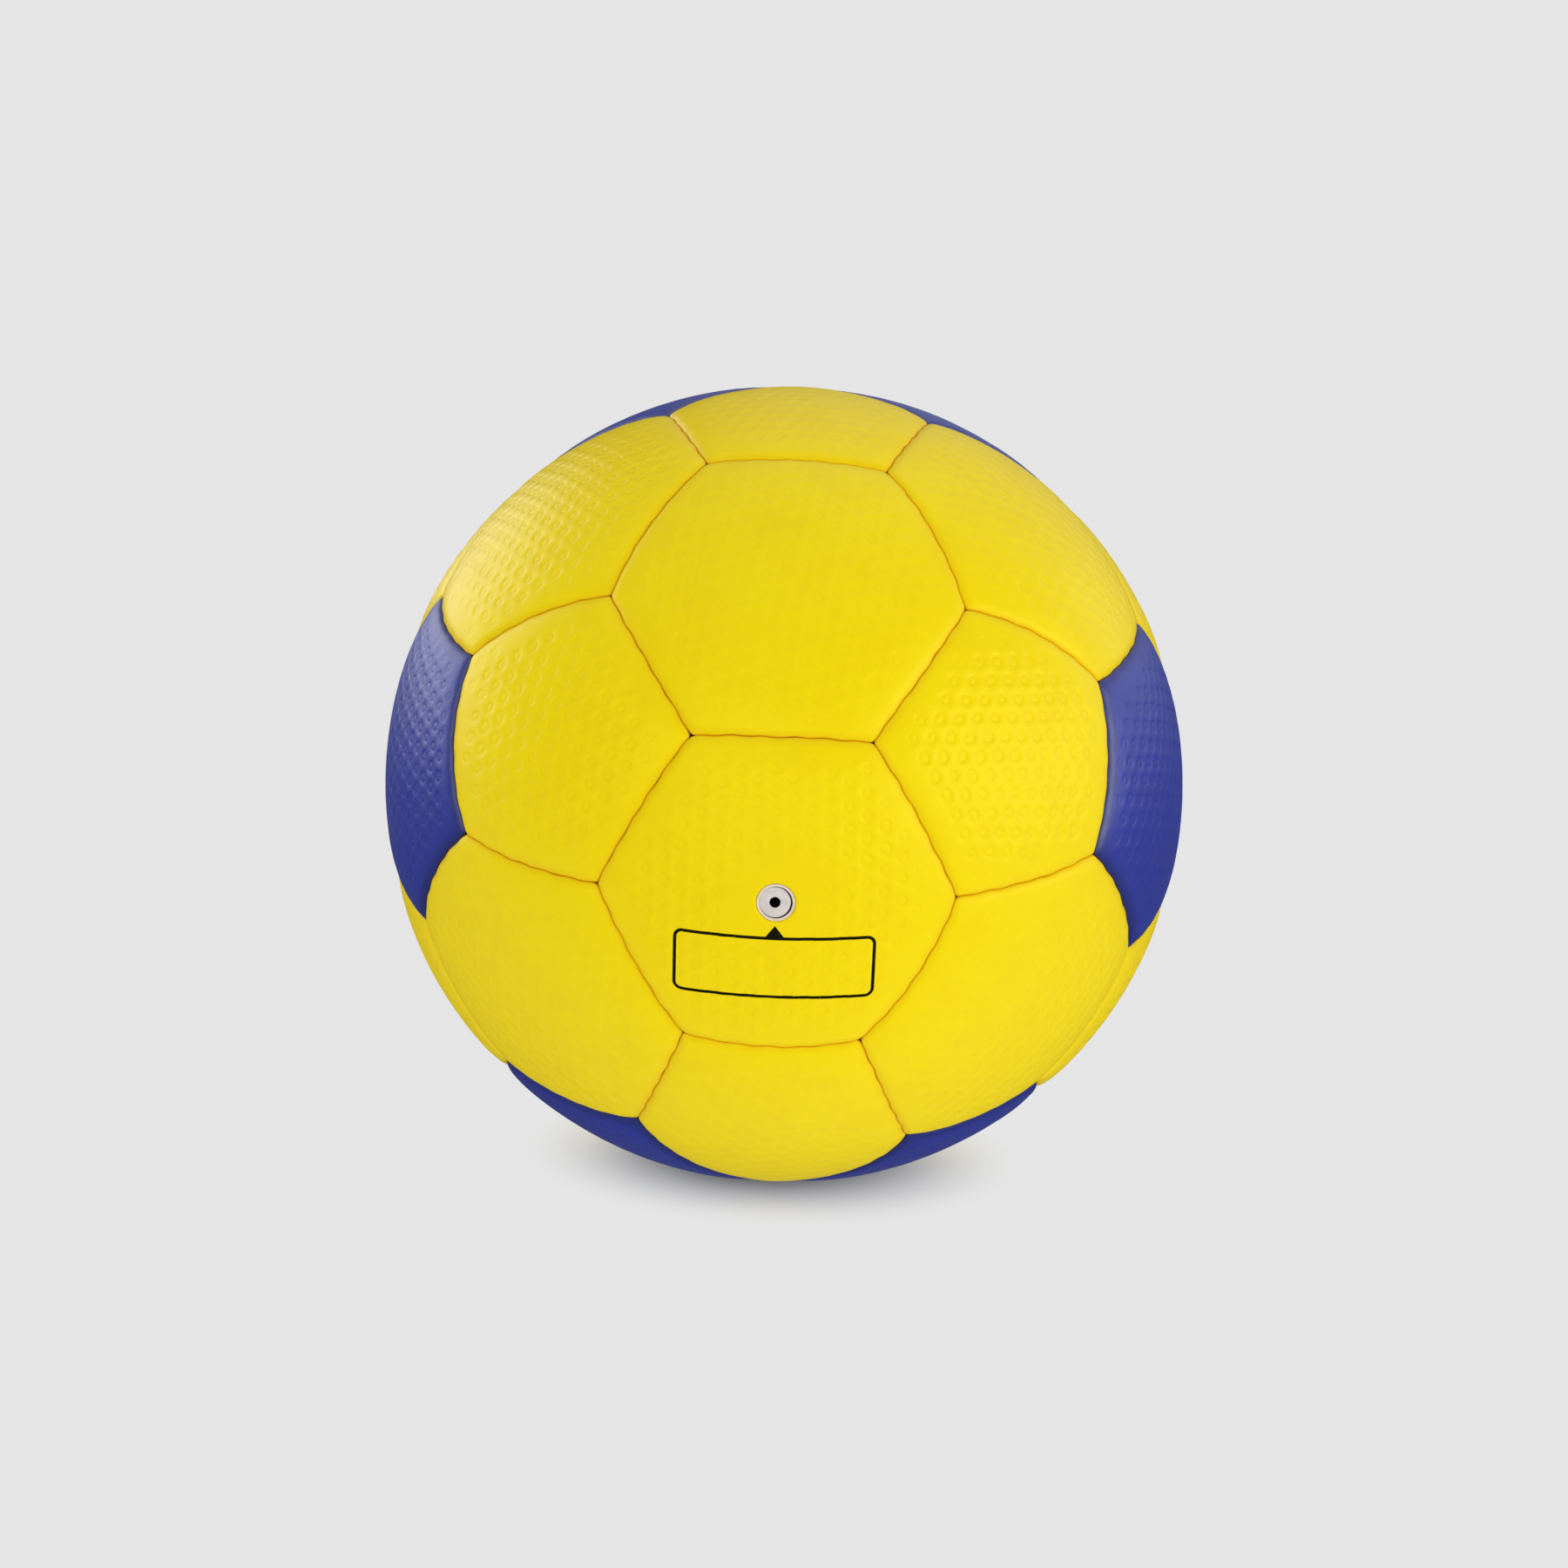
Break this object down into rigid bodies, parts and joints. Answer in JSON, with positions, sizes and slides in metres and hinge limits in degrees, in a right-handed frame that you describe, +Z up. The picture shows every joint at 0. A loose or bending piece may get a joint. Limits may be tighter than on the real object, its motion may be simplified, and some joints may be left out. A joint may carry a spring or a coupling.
{
  "type": "handball",
  "caption": "Hand-stitched handball of hexagon and pentagon panels in yellow and blue, sewn round a rubber bladder with a needle valve.",
  "frame": {"origin": "centre of the ball", "axes": "-Y out through the valve; +Z up, with the seam between the two front hexagons level; x = 0 is the pattern's mirror plane"},
  "size_m": [0.1868, 0.1873, 0.1876],
  "materials": {
    "yellow_cover": "grained synthetic leather with small pressed dimples, satin",
    "blue_cover": "grained synthetic leather with small pressed dimples, satin",
    "thread": "waxed twisted thread",
    "latex": "smooth natural latex",
    "valve_rubber": "smooth, slightly translucent",
    "core_rubber": "smooth, matt",
    "patch_cloth": "rubberised woven cloth"
  },
  "bodies": {
    "root": {"yellow_pentagon_01": "yellow_cover", "yellow_pentagon_02": "yellow_cover", "yellow_pentagon_03": "yellow_cover", "yellow_pentagon_04": "yellow_cover", "yellow_pentagon_05": "yellow_cover", "yellow_pentagon_06": "yellow_cover", "yellow_pentagon_07": "yellow_cover", "yellow_pentagon_08": "yellow_cover", "yellow_pentagon_09": "yellow_cover", "yellow_pentagon_10": "yellow_cover", "yellow_pentagon_11": "yellow_cover", "yellow_pentagon_12": "yellow_cover", "yellow_hexagon_01": "yellow_cover", "yellow_hexagon_02": "yellow_cover", "yellow_hexagon_03": "yellow_cover", "yellow_hexagon_04": "yellow_cover", "yellow_hexagon_05": "yellow_cover", "yellow_hexagon_06": "yellow_cover", "yellow_hexagon_07": "yellow_cover", "yellow_hexagon_08": "yellow_cover", "yellow_hexagon_09": "yellow_cover", "yellow_hexagon_10": "yellow_cover", "yellow_hexagon_11": "yellow_cover", "blue_hexagon_01": "blue_cover", "blue_hexagon_02": "blue_cover", "blue_hexagon_03": "blue_cover", "blue_hexagon_04": "blue_cover", "blue_hexagon_05": "blue_cover", "blue_hexagon_06": "blue_cover", "blue_hexagon_07": "blue_cover", "blue_hexagon_08": "blue_cover", "valve_hexagon": "yellow_cover", "seam_thread": "thread", "bladder": "latex", "valve_housing": "valve_rubber", "valve_core": "core_rubber", "valve_patch": "patch_cloth"}
  },
  "joints": []
}
